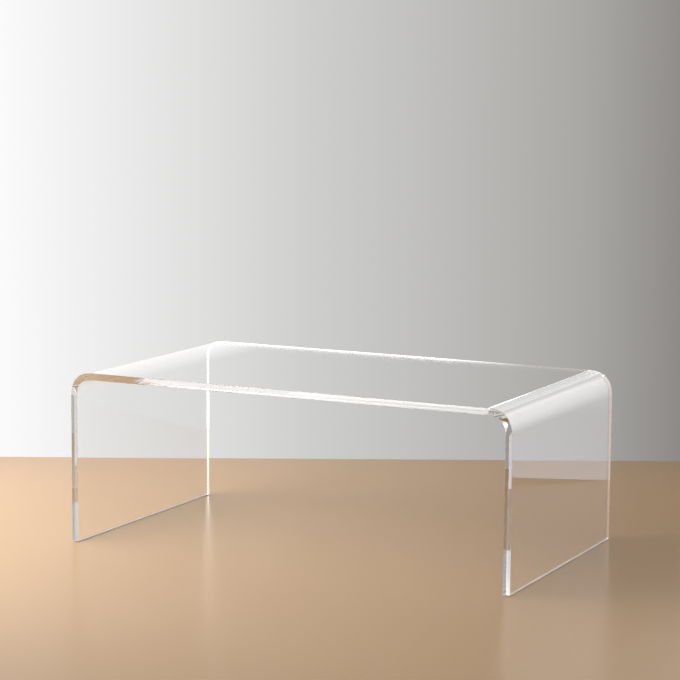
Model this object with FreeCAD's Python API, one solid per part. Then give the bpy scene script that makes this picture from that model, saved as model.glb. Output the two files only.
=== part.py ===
"""Waterfall coffee table: one clear acrylic sheet bent into a U, standing on four stuck-on bumper feet.

Millimetres. +Z is up, +X runs along the table's length and -Y is the front.
The origin is on the floor, under the middle of the table.
"""
import FreeCAD, Part
import math
import os

# The sheet: its size over the outer faces, and its stock thickness
LENGTH = 1000.0
DEPTH = 554.0
HEIGHT = 364.0
SHEET_THICKNESS = 15.0

# Its two bends: the bar that they are bent over, and the slower turn at each end of the heated band
INNER_BEND_RADIUS = 27.0
INNER_EASING_RADIUS = 80.0
EASING_DEGREES = 12.0

# The polished arris along every cut edge of the sheet
ARRIS_RADIUS = 0.8

# The domed bumper feet under the ends of the legs
BUMPER_DIAMETER = 9.5
BUMPER_HEIGHT = 1.6
BUMPER_RIM_HEIGHT = 0.6
BUMPER_CONTACT_DIAMETER = 5.0
BUMPER_END_INSET = 24.0

# The adhesive disc between each bumper and the leg above it
ADHESIVE_THICKNESS = 0.2
ADHESIVE_SETBACK = 0.3

# Where each corner of the table lies from its middle, as the signs of X and Y
CORNERS = {
    "front_left": (-1, -1),
    "front_right": (1, -1),
    "rear_left": (-1, 1),
    "rear_right": (1, 1),
}

Vector = FreeCAD.Vector
LEG_END = BUMPER_HEIGHT + ADHESIVE_THICKNESS


def line(start, end):
    return Part.LineSegment(start, end).toShape()


def outwards(side, turn):
    """Out of a bend on the side given: straight up at a turn of nought, level at a quarter turn."""
    return Vector(side * math.sin(turn), 0, math.cos(turn))


def u_outline(inset):
    """Leg, bend, top, bend, leg: the sheet's outer outline in XZ, moved inwards by inset.

    Each bend is three arcs that run on from each other: the easing, the turn over the bar, the easing again.
    """
    bend = INNER_BEND_RADIUS + SHEET_THICKNESS
    easing = INNER_EASING_RADIUS + SHEET_THICKNESS
    ease = math.radians(EASING_DEGREES)
    turns = (0, ease, math.pi / 2 - ease, math.pi / 2)
    # What the bend takes from the top and from the leg, up to the corner in which they would meet
    reach = easing * (1 + math.sin(ease) - math.cos(ease)) + bend * (math.cos(ease) - math.sin(ease))
    bend_end = LENGTH / 2 - reach
    bend_start = HEIGHT - reach
    leg_face = LENGTH / 2 - inset
    top_face = HEIGHT - inset
    edges = [line(Vector(-bend_end, 0, top_face), Vector(bend_end, 0, top_face))]
    for side in (-1, 1):
        top_axis = Vector(side * bend_end, 0, HEIGHT - easing)
        bar_axis = top_axis + outwards(side, ease) * (easing - bend)
        leg_axis = Vector(side * (LENGTH / 2 - easing), 0, bend_start)
        stretches = zip((top_axis, bar_axis, leg_axis), (easing, bend, easing), turns, turns[1:])
        for axis, radius, begin, end in stretches:
            through = (begin, (begin + end) / 2, end)
            points = [axis + outwards(side, turn) * (radius - inset) for turn in through]
            edges.append(Part.Arc(*points).toShape())
        edges.append(line(Vector(side * leg_face, 0, LEG_END), Vector(side * leg_face, 0, bend_start)))
    return edges


def is_cut(face):
    """The cuts are the sheet's front and back and the ends of its legs, each flat to within an arris."""
    box = face.BoundBox
    return box.YLength < ARRIS_RADIUS or box.ZMax < LEG_END + ARRIS_RADIUS


def acrylic_sheet():
    """The bent slab: its section carried from front to back, with a polished arris round every cut."""
    edges = u_outline(0) + u_outline(SHEET_THICKNESS)
    for side in (-1, 1):
        outside = Vector(side * LENGTH / 2, 0, LEG_END)
        edges.append(line(outside, outside - Vector(side * SHEET_THICKNESS, 0, 0)))
    section = Part.Face(Part.Wire(Part.__sortEdges__(edges)))
    section.translate(Vector(0, -DEPTH / 2, 0))
    slab = section.extrude(Vector(0, DEPTH, 0))
    cut_edges = {edge.hashCode(): edge for face in slab.Faces if is_cut(face) for edge in face.Edges}
    return slab.makeFillet(ARRIS_RADIUS, list(cut_edges.values()))


def bumper_foot(centre):
    """A low dome, turned about its own axis, that meets the floor in a flat disc."""
    rim = BUMPER_DIAMETER / 2
    contact = BUMPER_CONTACT_DIAMETER / 2
    shoulder = BUMPER_HEIGHT - BUMPER_RIM_HEIGHT
    # The dome leaves the floor level, so the middle of its curve stands over the contact disc's edge
    dome_radius = ((rim - contact) ** 2 + shoulder ** 2) / (2 * shoulder)
    dome_middle = Vector(contact, 0, dome_radius)
    on_floor = Vector(contact, 0, 0)
    under_rim = Vector(rim, 0, shoulder)
    halfway = dome_middle + ((on_floor + under_rim) / 2 - dome_middle).normalize() * dome_radius
    top_middle = Vector(0, 0, BUMPER_HEIGHT)
    top_rim = Vector(rim, 0, BUMPER_HEIGHT)
    section = Part.Wire([
        line(Vector(0, 0, 0), on_floor),
        Part.Arc(on_floor, halfway, under_rim).toShape(),
        line(under_rim, top_rim),
        line(top_rim, top_middle),
        line(top_middle, Vector(0, 0, 0)),
    ])
    foot = Part.Face(section).revolve(Vector(0, 0, 0), Vector(0, 0, 1), 360)
    foot.translate(centre)
    return foot


def adhesive_disc(centre):
    """The film that holds a bumper to the leg, a little smaller than the bumper's rim."""
    radius = BUMPER_DIAMETER / 2 - ADHESIVE_SETBACK
    disc = Part.makeCylinder(radius, ADHESIVE_THICKNESS)
    disc.translate(centre + Vector(0, 0, BUMPER_HEIGHT))
    return disc


os.makedirs("parts", exist_ok=True)
acrylic_sheet().exportStep("parts/acrylic_sheet.step")
for corner, (side, face) in CORNERS.items():
    under_leg = Vector(side * (LENGTH - SHEET_THICKNESS) / 2, face * (DEPTH / 2 - BUMPER_END_INSET), 0)
    bumper_foot(under_leg).exportStep(f"parts/{corner}_bumper_foot.step")
    adhesive_disc(under_leg).exportStep(f"parts/{corner}_adhesive_disc.step")
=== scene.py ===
import math

import bpy
import numpy as np
from mathutils import Matrix, Vector


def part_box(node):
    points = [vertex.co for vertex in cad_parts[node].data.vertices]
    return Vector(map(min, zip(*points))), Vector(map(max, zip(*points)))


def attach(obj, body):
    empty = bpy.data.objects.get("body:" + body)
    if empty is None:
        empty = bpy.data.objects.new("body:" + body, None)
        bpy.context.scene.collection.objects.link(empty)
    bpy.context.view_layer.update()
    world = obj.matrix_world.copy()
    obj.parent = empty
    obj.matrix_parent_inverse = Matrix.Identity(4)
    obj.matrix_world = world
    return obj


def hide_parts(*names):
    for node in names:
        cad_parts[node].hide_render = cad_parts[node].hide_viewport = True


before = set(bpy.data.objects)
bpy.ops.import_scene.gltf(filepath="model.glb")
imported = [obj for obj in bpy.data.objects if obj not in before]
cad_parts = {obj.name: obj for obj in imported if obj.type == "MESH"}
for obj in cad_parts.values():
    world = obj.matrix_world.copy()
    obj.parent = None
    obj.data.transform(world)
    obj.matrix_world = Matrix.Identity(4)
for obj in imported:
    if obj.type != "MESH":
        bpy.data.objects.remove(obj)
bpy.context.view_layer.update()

# Acrylic sheet: the whole table is one slab of clear cast acrylic. It is cut to size and its edges are
# polished to a small arris, then it is heated along two bands and bent over a round bar into a U. At the
# ends of each heated band the bend eases in and out.
SHEET_THICKNESS = 0.015
INNER_BEND_RADIUS = 0.027
INNER_EASING_RADIUS = 0.080
EASING_ANGLE = math.radians(12)
ARRIS_RADIUS = 0.0008
ARRIS_STEPS = 5
EASING_STEPS = 24
BEND_STEPS = 132
BROAD_FACE, CUT_FACE = 0, 1


def merged(points, normals, triangles, tolerance=1e-7):
    """Joins points that lie in one place and drops the triangles that this closes up."""
    places = np.round(points / tolerance).astype(np.int64)
    kept, joined = np.unique(places, axis=0, return_index=True, return_inverse=True)[1:]
    triangles = joined.ravel()[triangles]
    first, second, third = triangles.T
    whole = (first != second) & (second != third) & (third != first)
    return points[kept], normals[kept], triangles[whole], whole


def grid_triangles(rows, columns):
    """Two triangles for each cell of a grid whose last column joins its first."""
    row, column = np.meshgrid(np.arange(rows - 1), np.arange(columns), indexing="ij")
    here = row * columns + column
    beside = row * columns + (column + 1) % columns
    above, corner = here + columns, beside + columns
    halves = np.stack([here, beside, corner, here, corner, above], axis=-1)
    return halves.reshape(-1, 3)


def smooth_mesh(name, points, normals, triangles):
    """A mesh whose shading follows the normals of the true surface, not of its flat triangles."""
    mesh = bpy.data.meshes.new(name)
    mesh.from_pydata(points.tolist(), [], triangles.tolist())
    mesh.update()
    mesh.normals_split_custom_set_from_vertices(normals)
    piece = bpy.data.objects.new(name, mesh)
    bpy.context.scene.collection.objects.link(piece)
    return piece


def bent_path(low, high):
    """The left half of the sheet's middle line in XZ, from the leg's end up, and which way is out of it.

    A straight leg, then three arcs about three axes, the easing, the turn over the bar and the easing again,
    that run on from each other. The third result is how far the cut at the leg's end leans over.
    """
    bend = INNER_BEND_RADIUS + SHEET_THICKNESS
    easing = INNER_EASING_RADIUS + SHEET_THICKNESS
    sine, cosine = math.sin(EASING_ANGLE), math.cos(EASING_ANGLE)
    reach = easing * (1 + sine - cosine) + bend * (cosine - sine)
    leg_axis = np.array([low.x + easing, high.z - reach])
    bar_axis = leg_axis + (easing - bend) * np.array([-cosine, sine])
    top_axis = np.array([low.x + reach, high.z - easing])
    corners = np.array([0, EASING_ANGLE, np.pi / 2 - EASING_ANGLE, np.pi / 2])
    turn = np.concatenate([
        np.linspace(corners[0], corners[1], EASING_STEPS, endpoint=False),
        np.linspace(corners[1], corners[2], BEND_STEPS, endpoint=False),
        np.linspace(corners[2], corners[3], EASING_STEPS + 1),
    ])
    stretch = np.digitize(turn, corners[1:3])
    bend_out = np.column_stack([-np.cos(turn), np.sin(turn)])
    axis = np.array([leg_axis, bar_axis, top_axis])[stretch]
    radius = np.array([easing, bend, easing])[stretch, None] - SHEET_THICKNESS / 2

    lean = np.linspace(np.pi / 2, 0, ARRIS_STEPS + 1)
    leg_height = low.z + ARRIS_RADIUS * (1 - np.sin(lean))
    leg = np.column_stack([np.full_like(lean, low.x + SHEET_THICKNESS / 2), leg_height])
    leg_out = np.column_stack([-np.ones_like(lean), np.zeros_like(lean)])
    middle = np.concatenate([leg, axis + radius * bend_out])
    return middle, np.concatenate([leg_out, bend_out]), np.concatenate([lean, np.zeros_like(turn)])


def bent_sheet(name, low, high):
    """The cut section carried along the U of the sheet's middle line.

    Round the section: four quarter circles of the arris radius, joined by the straight sides of a rectangle,
    depth by thickness. At each leg's end the section draws in along a quarter circle, the arris of the cut.
    """
    half, half_out, half_lean = bent_path(low, high)
    mirror = np.array([-1, 1])
    middle = np.concatenate([half, half[::-1] * mirror])[:, None, :]
    out = np.concatenate([half_out, half_out[::-1] * mirror])[:, None, :]
    lean = np.concatenate([half_lean, half_lean[::-1]])[:, None]

    # The section's corners in turn: rear outer, front outer, front inner, rear inner
    quarter = np.linspace(0, np.pi / 2, ARRIS_STEPS + 1)
    angle = (np.arange(4)[:, None] * np.pi / 2 + quarter).ravel()
    rearward = np.repeat([1, -1, -1, 1], ARRIS_STEPS + 1)
    outward = np.repeat([1, 1, -1, -1], ARRIS_STEPS + 1)
    rounding = ARRIS_RADIUS * np.cos(lean)
    across = outward * (SHEET_THICKNESS / 2 - ARRIS_RADIUS) + rounding * np.sin(angle)
    depth = rearward * (high.y - ARRIS_RADIUS) + rounding * np.cos(angle)
    points = np.stack([
        middle[..., 0] + out[..., 0] * across,
        depth,
        middle[..., 1] + out[..., 1] * across,
    ], axis=-1)
    normals = np.stack([
        np.cos(lean) * np.sin(angle) * out[..., 0],
        np.cos(lean) * np.cos(angle),
        np.cos(lean) * np.sin(angle) * out[..., 1] - np.sin(lean),
    ], axis=-1)

    rows, columns = depth.shape
    walls = grid_triangles(rows, columns)
    corners = np.arange(4) * (ARRIS_STEPS + 1)
    last = (rows - 1) * columns + corners
    leg_ends = np.array([corners[[0, 2, 1]], corners[[0, 3, 2]], last[[0, 1, 2]], last[[0, 2, 3]]])
    triangles = np.concatenate([walls, leg_ends])

    # The broad faces run between the front and rear arris on both sides of the sheet; the rest is cut
    side = np.tile(np.repeat(np.arange(columns), 2), rows - 1)
    broad = (side == ARRIS_STEPS) | (side == 3 * ARRIS_STEPS + 2)
    finish = np.concatenate([np.where(broad, BROAD_FACE, CUT_FACE), np.full(len(leg_ends), CUT_FACE)])

    points, normals, triangles, whole = merged(points.reshape(-1, 3), normals.reshape(-1, 3), triangles)
    sheet = smooth_mesh(name, points, normals, triangles)
    sheet.data.polygons.foreach_set("material_index", finish[whole].astype(np.int32))
    return sheet


def new_material(name):
    """An empty node material: its tree and its output."""
    material = bpy.data.materials.new(name)
    material.use_nodes = True
    material.node_tree.nodes.clear()
    return material, material.node_tree, material.node_tree.nodes.new("ShaderNodeOutputMaterial")


def add_node(tree, kind, links=(), **sockets):
    """A node with its sockets set by name, with spaces for underlines, and fed by the links given."""
    node = tree.nodes.new(kind)
    for socket, value in sockets.items():
        node.inputs[socket.replace("_", " ")].default_value = value
    for socket, source in dict(links).items():
        tree.links.new(source, node.inputs[socket])
    return node


SMUDGES_PER_WAVE = 6
SMUDGE_SPAN = (0.4, 0.8)
ALL_LIGHT = (1.0, 1.0, 1.0, 1.0)


def clear_plastic(name, ior, roughness, wave_scale, wave_height, face=ALL_LIGHT):
    """Clear plastic: smudges vary its gloss and long faint waves its flatness.

    Face is the share of light that a way in and out lets by.
    """
    material, tree, output = new_material(name)
    place = add_node(tree, "ShaderNodeTexCoord").outputs["Object"]
    smudges = add_node(tree, "ShaderNodeTexNoise", {"Vector": place},
                       Scale=wave_scale * SMUDGES_PER_WAVE, Detail=4.0)
    gloss = add_node(tree, "ShaderNodeMapRange", {"Value": smudges.outputs["Fac"]},
                     From_Min=SMUDGE_SPAN[0], From_Max=SMUDGE_SPAN[1],
                     To_Min=roughness[0], To_Max=roughness[1])
    waves = add_node(tree, "ShaderNodeTexNoise", {"Vector": place}, Scale=wave_scale, Detail=1.0)
    flatness = add_node(tree, "ShaderNodeBump", {"Height": waves.outputs["Fac"]},
                        Strength=1.0, Distance=wave_height)
    plastic = add_node(tree, "ShaderNodeBsdfPrincipled", {
        "Roughness": gloss.outputs["Result"], "Normal": flatness.outputs["Normal"],
    }, Base_Color=face, IOR=ior, Transmission_Weight=1.0)
    tree.links.new(plastic.outputs["BSDF"], output.inputs["Surface"])
    return material


ACRYLIC_IOR = 1.49
# The cuts are polished after sawing, so they are taken to let a little less light by than the broad faces
CUT_LETS_BY = (0.80, 0.79, 0.77, 1.0)

sheet = bent_sheet("clear_sheet", *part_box("acrylic_sheet"))
sheet.data.materials.append(clear_plastic(
    "clear_acrylic", ACRYLIC_IOR, roughness=(0.0, 0.02), wave_scale=3.0, wave_height=0.00002))
sheet.data.materials.append(clear_plastic(
    "polished_cut", ACRYLIC_IOR, roughness=(0.0, 0.04), wave_scale=20.0, wave_height=0.00001,
    face=CUT_LETS_BY))
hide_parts("acrylic_sheet")
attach(sheet, "root")

# Adhesive discs: under each corner of the table a round of clear pressure-sensitive film, die-cut a little
# smaller than the foot that it holds. It is pressed on, so its rim swells out round.
CORNERS = ("front_left", "front_right", "rear_left", "rear_right")
TURNED_STEPS = 64
ARC_STEPS = 10
FILM_GAP = 0.00001


def turned_piece(name, node, arcs):
    """A profile of arcs turned about an upright axis through the middle of the node's box.

    Each arc has a centre, out from the axis and up from the foot of the box, a radius, and the two angles
    that it runs between, nought pointing down and a quarter turn pointing outwards. The profile starts on
    the axis below the first arc and ends on the axis above the last, so flat discs close it.
    """
    low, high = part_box(node)
    middle = (low + high) / 2
    share = np.linspace(0, 1, ARC_STEPS + 1)
    centre_out, centre_up, radius, begin, end = np.array(arcs)[..., None].swapaxes(0, 1)
    angle = begin + (end - begin) * share
    out = (centre_out + radius * np.sin(angle)).ravel()
    up = (centre_up - radius * np.cos(angle)).ravel()
    out = np.concatenate([[0], out, [0]])[:, None]
    up = np.concatenate([up[:1], up, up[-1:]])[:, None]
    angle = np.concatenate([[0], angle.ravel(), [np.pi]])[:, None]

    round_about = np.linspace(0, 2 * np.pi, TURNED_STEPS, endpoint=False)[None, :]
    points = np.stack(np.broadcast_arrays(
        middle.x + out * np.cos(round_about), middle.y + out * np.sin(round_about), low.z + up), axis=-1)
    normals = np.stack(np.broadcast_arrays(
        np.sin(angle) * np.cos(round_about), np.sin(angle) * np.sin(round_about), -np.cos(angle)), axis=-1)
    triangles = grid_triangles(len(out), TURNED_STEPS)
    points, normals, triangles, _ = merged(points.reshape(-1, 3), normals.reshape(-1, 3), triangles)
    return smooth_mesh(name, points, normals, triangles)


def tint_body(material, tint, density):
    """Lets the body of a clear piece take some of the light that goes through it."""
    tree = material.node_tree
    body = add_node(tree, "ShaderNodeVolumeAbsorption", Color=tint, Density=density)
    tree.links.new(body.outputs["Volume"], tree.nodes["Material Output"].inputs["Volume"])


clear_film = clear_plastic("clear_film", ior=1.47, roughness=(0.05, 0.2), wave_scale=400.0,
                           wave_height=0.00001)
tint_body(clear_film, (0.95, 0.95, 0.90, 1.0), density=20.0)
for corner in CORNERS:
    low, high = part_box(f"{corner}_adhesive_disc")
    rim = (high.x - low.x) / 2
    half_height = (high.z - low.z) / 2
    bead = half_height - FILM_GAP
    disc = turned_piece(f"{corner}_film", f"{corner}_adhesive_disc",
                        [(rim - bead, half_height, bead, 0, np.pi)])
    disc.data.materials.append(clear_film)
    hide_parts(f"{corner}_adhesive_disc")
    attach(disc, "root")

# Bumper feet: four low domes moulded in clear soft polyurethane, each with a flat disc that meets the floor.
# The film above holds them to the leg's end.
CONTACT_RADIUS = 0.0025
DOME_HEIGHT = 0.0010
RIM_ROUNDING = 0.00015


def dome_profile(rim, height):
    """A bumper foot's arcs from the floor up: flat disc, dome, rounded edge, upright rim, rounded edge."""
    dome = ((rim - CONTACT_RADIUS) ** 2 + DOME_HEIGHT ** 2) / (2 * DOME_HEIGHT)
    edge = rim - RIM_ROUNDING
    turn = math.asin((edge - CONTACT_RADIUS) / (dome - RIM_ROUNDING))
    edge_up = dome - (dome - RIM_ROUNDING) * math.cos(turn)
    return [
        (CONTACT_RADIUS, dome, dome, 0, turn),
        (edge, edge_up, RIM_ROUNDING, turn, np.pi / 2),
        (edge, height - RIM_ROUNDING, RIM_ROUNDING, np.pi / 2, np.pi),
    ]


clear_rubber = clear_plastic("clear_rubber", ior=1.5, roughness=(0.12, 0.26), wave_scale=250.0,
                             wave_height=0.00004)
tint_body(clear_rubber, (0.92, 0.93, 0.92, 1.0), density=40.0)
for corner in CORNERS:
    low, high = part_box(f"{corner}_bumper_foot")
    foot = turned_piece(f"{corner}_foot", f"{corner}_bumper_foot",
                        dome_profile((high.x - low.x) / 2, high.z - low.z))
    foot.data.materials.append(clear_rubber)
    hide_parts(f"{corner}_bumper_foot")
    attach(foot, "root")

# Camera: stands to the right of the table's front and looks down on it a little, through a long lens.
# Across, away and up are the directions of the picture on the floor, with the table's middle at zero.
CAMERA_PLACE = Vector((2.0960, -4.1974, 1.0812))
CAMERA_YAW = math.radians(-26.618)
CAMERA_PITCH = math.radians(7.890)
CAMERA_ROLL = math.radians(0.376)
PICTURE_WIDTH = 680
FOCAL_PIXELS = 2251.8
SENSOR_WIDTH = 36.0
ACROSS = Vector((math.cos(CAMERA_YAW), -math.sin(CAMERA_YAW), 0))
AWAY = Vector((math.sin(CAMERA_YAW), math.cos(CAMERA_YAW), 0))
UP = Vector((0, 0, 1))

lens = bpy.data.cameras.new("camera")
lens.sensor_width = SENSOR_WIDTH
lens.lens = FOCAL_PIXELS / PICTURE_WIDTH * SENSOR_WIDTH
camera = bpy.data.objects.new("camera", lens)
level = Matrix.Rotation(-CAMERA_YAW, 4, "Z") @ Matrix.Rotation(math.pi / 2 - CAMERA_PITCH, 4, "X")
camera.matrix_world = Matrix.Translation(CAMERA_PLACE) @ level @ Matrix.Rotation(CAMERA_ROLL, 4, "Z")
bpy.context.scene.collection.objects.link(camera)
bpy.context.scene.camera = camera

# Floor and backdrop: a plain pale floor, and behind it a pale sheet with painted light that is brighter on
# the left.
# The backdrop has a front only, so it never hides the table from behind.
FLOOR_REACH = 30.0
BACKDROP_DISTANCE = 0.915


def light_of(red, green, blue):
    """A screen colour, 0 to 255, as the share of light that it stands for."""
    shares = np.array([red, green, blue]) / 255
    light = np.where(shares <= 0.04045, shares / 12.92, ((shares + 0.055) / 1.055) ** 2.4)
    return (*light.tolist(), 1.0)


FLOOR_COLOUR = light_of(214, 174, 128)
FLOOR_GLOSS = 0.25
FLOOR_ROUGHNESS = (0.20, 0.27)
# Painted light on the backdrop: bright on the left and darker to the right, as if lit from the left.
BACKDROP_PAINTED_LIGHT = (
    (0.0, light_of(250, 250, 250)),
    (0.45, light_of(206, 206, 205)),
    (0.85, light_of(170, 168, 165)),
    (1.0, light_of(142, 139, 136)),
)


def in_picture(across, away, up):
    """A place given in the picture's own directions."""
    return across * ACROSS + away * AWAY + up * UP


def flat_panel(name, start, end, breadth, material):
    """A panel as broad as the breadth given, whose middle line runs from start to end.

    Seen from its front, breadth goes up when that line goes from left to right.
    """
    along = (end - start).normalized()
    rise = breadth.length / 2 * (breadth - breadth.dot(along) * along).normalized()
    mesh = bpy.data.meshes.new(name)
    corners = (start - rise, end - rise, end + rise, start + rise)
    mesh.from_pydata([tuple(corner) for corner in corners], [], [(0, 1, 2, 3)])
    mesh.uv_layers.new().data.foreach_set("uv", np.array([[0, 0], [1, 0], [1, 1], [0, 1]]).ravel())
    mesh.materials.append(material)
    panel = bpy.data.objects.new(name, mesh)
    bpy.context.scene.collection.objects.link(panel)
    return panel


def floor_material():
    """A pale colour whose soft gloss is a little uneven."""
    material, tree, output = new_material("pale_floor")
    place = add_node(tree, "ShaderNodeTexCoord").outputs["Object"]
    clouds = add_node(tree, "ShaderNodeTexNoise", {"Vector": place}, Scale=2.0, Detail=3.0)
    gloss = add_node(tree, "ShaderNodeMapRange", {"Value": clouds.outputs["Fac"]},
                     To_Min=FLOOR_ROUGHNESS[0], To_Max=FLOOR_ROUGHNESS[1])
    floor = add_node(tree, "ShaderNodeBsdfPrincipled", {"Roughness": gloss.outputs["Result"]},
                     Base_Color=FLOOR_COLOUR, Specular_IOR_Level=FLOOR_GLOSS)
    tree.links.new(floor.outputs["BSDF"], output.inputs["Surface"])
    return material


def combined(tree, operation, *values):
    """The result of a Math node over values, each a socket or a plain number."""
    node = add_node(tree, "ShaderNodeMath")
    node.operation = operation
    for socket, value in zip(node.inputs, values):
        if isinstance(value, float):
            socket.default_value = value
        else:
            tree.links.new(value, socket)
    return node.outputs[0]


def seen_directly(tree):
    """One where the eye, a reflection or clear plastic looks at a surface, nought where it only lights."""
    path = add_node(tree, "ShaderNodeLightPath").outputs
    mirrored = combined(tree, "MAXIMUM", path["Is Glossy Ray"], path["Is Transmission Ray"])
    return combined(tree, "MAXIMUM", path["Is Camera Ray"], mirrored)


def tone_ramp(tree, source, tones):
    """Turns a share, nought to one, into a tone by going straight from each stop to the next."""
    ramp = add_node(tree, "ShaderNodeValToRGB", {"Fac": source})
    stops = ramp.color_ramp.elements
    stops.remove(stops[1])
    stops[0].position, stops[0].color = tones[0]
    for share, tone in tones[1:]:
        stops.new(share).color = tone
    return ramp


def backdrop_material():
    """Shows a pale tone with painted light that falls off from left to right, and passes light on as paper
    does.
    """
    material, tree, output = new_material("pale_backdrop")
    place = add_node(tree, "ShaderNodeTexCoord").outputs["Object"]
    along = add_node(tree, "ShaderNodeVectorMath", {0: place})
    along.operation = "DOT_PRODUCT"
    along.inputs[1].default_value = ACROSS
    half_picture = (BACKDROP_DISTANCE - CAMERA_PLACE.dot(AWAY)) * PICTURE_WIDTH / 2 / FOCAL_PIXELS
    share = add_node(tree, "ShaderNodeMapRange", {"Value": along.outputs["Value"]},
                     From_Min=-half_picture, From_Max=half_picture)
    # Painted light: the tone falls off from left to right across the picture.
    tone = tone_ramp(tree, share.outputs["Result"], BACKDROP_PAINTED_LIGHT)
    shown = add_node(tree, "ShaderNodeEmission", {"Color": tone.outputs["Color"]})
    matt = add_node(tree, "ShaderNodeBsdfDiffuse", {"Color": tone.outputs["Color"]})
    front = add_node(tree, "ShaderNodeMixShader", {"Fac": seen_directly(tree)})
    tree.links.new(matt.outputs[0], front.inputs[1])
    tree.links.new(shown.outputs[0], front.inputs[2])
    sides = add_node(tree, "ShaderNodeMixShader", {
        "Fac": add_node(tree, "ShaderNodeNewGeometry").outputs["Backfacing"]})
    tree.links.new(front.outputs[0], sides.inputs[1])
    tree.links.new(add_node(tree, "ShaderNodeBsdfTransparent").outputs[0], sides.inputs[2])
    tree.links.new(sides.outputs[0], output.inputs["Surface"])
    return material


floor_mesh = bpy.data.meshes.new("floor")
floor_corners = np.array([[-1, -1, 0], [1, -1, 0], [1, 1, 0], [-1, 1, 0]]) * FLOOR_REACH
floor_mesh.from_pydata(floor_corners.tolist(), [], [(0, 1, 2, 3)])
floor_mesh.materials.append(floor_material())
floor = bpy.data.objects.new("floor", floor_mesh)
bpy.context.scene.collection.objects.link(floor)
backdrop_left = in_picture(-FLOOR_REACH, BACKDROP_DISTANCE, 0)
backdrop_right = in_picture(FLOOR_REACH, BACKDROP_DISTANCE, 0)
flat_panel("backdrop", backdrop_left, backdrop_right, 2 * FLOOR_REACH * UP, backdrop_material())

# Studio light: a tall soft panel on the left and a plain pale surround light the table. Clear plastic also
# needs something to mirror, so the panel's fading end, a low strip that shines upwards, a panel on the right
# and two cards show in reflections and through the sheet alone. A level of one is white.
LEFT_PANEL_LEVEL = 2.2
LEFT_PANEL_HEIGHT = 1.9
LEFT_PANEL_ACROSS = -1.05
LEFT_PANEL_MIDDLE = 0.95
LEFT_PANEL_FAR = in_picture(LEFT_PANEL_ACROSS, 0.8, LEFT_PANEL_MIDDLE)
LEFT_PANEL_NEAR = in_picture(LEFT_PANEL_ACROSS, -0.88, LEFT_PANEL_MIDDLE)
LEFT_END_FAR = in_picture(LEFT_PANEL_ACROSS, -0.86, LEFT_PANEL_MIDDLE)
LEFT_END_NEAR = in_picture(LEFT_PANEL_ACROSS, -1.18, LEFT_PANEL_MIDDLE)
STRIP_LEVEL = 9.0
STRIP_BREADTH = 0.14 * (ACROSS + AWAY).normalized()
STRIP_LEFT = in_picture(-0.585, -0.205, 0.325)
STRIP_RIGHT = in_picture(-0.055, -0.735, 0.281)
RIGHT_PANEL_LEVEL = 1.9
RIGHT_PANEL_HEIGHT = 1.2
RIGHT_PANEL_FAR = in_picture(0.885, 0.8, 0.578)
RIGHT_PANEL_NEAR = in_picture(1.366, -0.2, 0.645)
BEND_CARD_LEVEL = 0.82
BEND_CARD_HEIGHT = 0.6
BEND_CARD_LEFT = in_picture(0.469, 0.9, 0.899)
BEND_CARD_RIGHT = in_picture(1.209, 0.9, 0.612)
LEFT_CARD_LEVEL = 1.25
LEFT_CARD_HEIGHT = 0.08
LEFT_CARD_LEFT = in_picture(-0.81, 0.7, 0.531)
LEFT_CARD_RIGHT = in_picture(-0.125, 0.7, 0.358)
LEFT_CARD_REACH = (0.9, 1.2)
WHITE = ((0.0, ALL_LIGHT),)
RIGHT_PANEL_TONES = (
    (0.0, (0.42, 0.40, 0.43, 1.0)),
    (0.13, (0.41, 0.39, 0.41, 1.0)),
    (0.165, (0.48, 0.46, 0.48, 1.0)),
    (0.27, (0.84, 0.83, 0.84, 1.0)),
    (0.42, (1.0, 0.99, 1.0, 1.0)),
)
LEFT_CARD_TONES = (
    (0.55, ALL_LIGHT),
    (1.0, (1.0, 1.0, 1.0, 0.0)),
)
SURROUND_LEVEL = 0.52
SURROUND_SHOWN = 0.9


def soft_lamp(name, start, end, height, level):
    """An upright area lamp; seen from its front, its middle line runs from start on the right to end."""
    lamp = bpy.data.lights.new(name, "AREA")
    lamp.shape = "RECTANGLE"
    lamp.size = (end - start).length
    lamp.size_y = height
    lamp.energy = level * math.pi * lamp.size * lamp.size_y
    along = (end - start).normalized()
    panel = bpy.data.objects.new(name, lamp)
    turned = Matrix((along, UP, along.cross(UP))).transposed().to_4x4()
    panel.matrix_world = Matrix.Translation((start + end) / 2) @ turned
    panel.visible_camera = False
    bpy.context.scene.collection.objects.link(panel)


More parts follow.
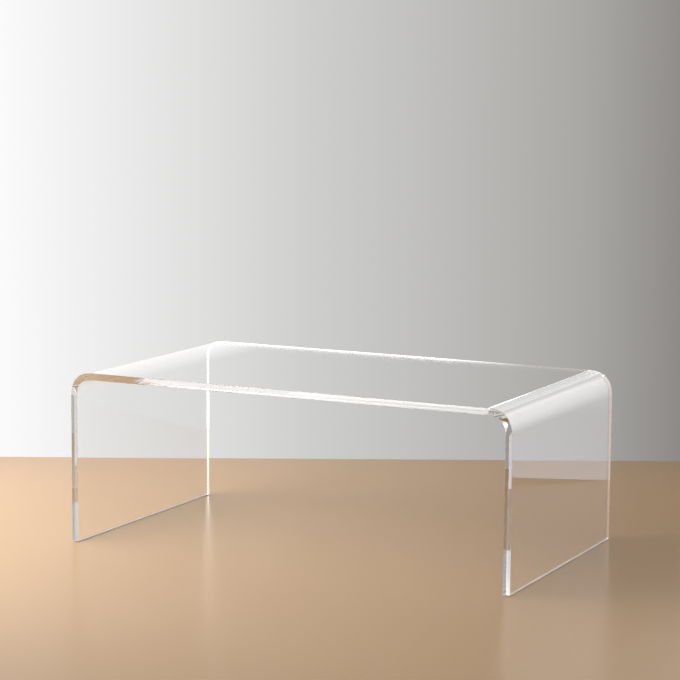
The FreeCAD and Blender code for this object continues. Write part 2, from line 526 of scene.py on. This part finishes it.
def card_material(name, level, tones=WHITE, fade=(1.0, 1.1), reach=None):
    """Shines to its front with tones that go from its foot to its head, but not by way of a matt surface.

    A tone's fourth value is how well it covers what lies behind. Along the card the cover goes within fade.
    A card with a reach shows in outer faces alone, and within that reach it goes out of their sight.
    """
    material, tree, output = new_material(name)
    place = add_node(tree, "ShaderNodeSeparateXYZ", {
        "Vector": add_node(tree, "ShaderNodeTexCoord").outputs["UV"]})
    tone = tone_ramp(tree, place.outputs["Y"], tones)
    shine = add_node(tree, "ShaderNodeEmission", {"Color": tone.outputs["Color"]}, Strength=level)
    fading = add_node(tree, "ShaderNodeMapRange", {"Value": place.outputs["X"]},
                      From_Min=fade[0], From_Max=fade[1], To_Min=1.0, To_Max=0.0)
    behind = add_node(tree, "ShaderNodeNewGeometry").outputs["Backfacing"]
    path = add_node(tree, "ShaderNodeLightPath").outputs
    shares = [
        fading.outputs["Result"],
        combined(tree, "SUBTRACT", 1.0, behind),
        combined(tree, "LESS_THAN", path["Diffuse Depth"], 0.5),
    ]
    if reach:
        near = add_node(tree, "ShaderNodeMapRange", {"Value": path["Ray Length"]},
                        From_Min=reach[0], From_Max=reach[1], To_Min=1.0, To_Max=0.0)
        shares.append(near.outputs["Result"])
        shares.append(combined(tree, "LESS_THAN", path["Transmission Depth"], 0.5))
    cover = tone.outputs["Alpha"]
    for share in shares:
        cover = combined(tree, "MULTIPLY", cover, share)
    face = add_node(tree, "ShaderNodeMixShader", {"Fac": cover})
    tree.links.new(add_node(tree, "ShaderNodeBsdfTransparent").outputs[0], face.inputs[1])
    tree.links.new(shine.outputs[0], face.inputs[2])
    tree.links.new(face.outputs[0], output.inputs["Surface"])
    return material


def reflected_card(name, start, end, breadth, level, **finish):
    """A card hidden from the camera and from matt surfaces, so that only gloss and clear plastic show it."""
    card = flat_panel(name, start, end, breadth, card_material(name, level, **finish))
    card.visible_camera = False
    card.visible_diffuse = False
    card.visible_shadow = False


soft_lamp("left_panel", LEFT_PANEL_FAR, LEFT_PANEL_NEAR, LEFT_PANEL_HEIGHT, LEFT_PANEL_LEVEL)
reflected_card("left_panel_end", LEFT_END_NEAR, LEFT_END_FAR, LEFT_PANEL_HEIGHT * UP, LEFT_PANEL_LEVEL,
               fade=(1.0, 0.0))
reflected_card("low_strip", STRIP_LEFT, STRIP_RIGHT, STRIP_BREADTH, STRIP_LEVEL)
reflected_card("right_panel", RIGHT_PANEL_FAR, RIGHT_PANEL_NEAR, RIGHT_PANEL_HEIGHT * UP, RIGHT_PANEL_LEVEL,
               tones=RIGHT_PANEL_TONES, fade=(0.18, 0.0))
reflected_card("bend_card", BEND_CARD_LEFT, BEND_CARD_RIGHT, BEND_CARD_HEIGHT * UP, BEND_CARD_LEVEL)
reflected_card("left_card", LEFT_CARD_LEFT, LEFT_CARD_RIGHT, LEFT_CARD_HEIGHT * UP, LEFT_CARD_LEVEL,
               tones=LEFT_CARD_TONES, reach=LEFT_CARD_REACH)

world = bpy.data.worlds.new("surround")
world.use_nodes = True
tree = world.node_tree
surround = tree.nodes["Background"]
surround.inputs["Color"].default_value = ALL_LIGHT
strength = add_node(tree, "ShaderNodeMapRange", {"Value": seen_directly(tree)},
                    To_Min=SURROUND_LEVEL, To_Max=SURROUND_SHOWN)
tree.links.new(strength.outputs["Result"], surround.inputs["Strength"])
bpy.context.scene.world = world

# Light goes to and fro hundreds of times inside the sheet before it comes out at an edge
BOUNCES = 600
scene = bpy.context.scene
scene.cycles.max_bounces = BOUNCES
scene.cycles.glossy_bounces = BOUNCES
scene.cycles.transmission_bounces = BOUNCES
scene.view_settings.view_transform = "Standard"
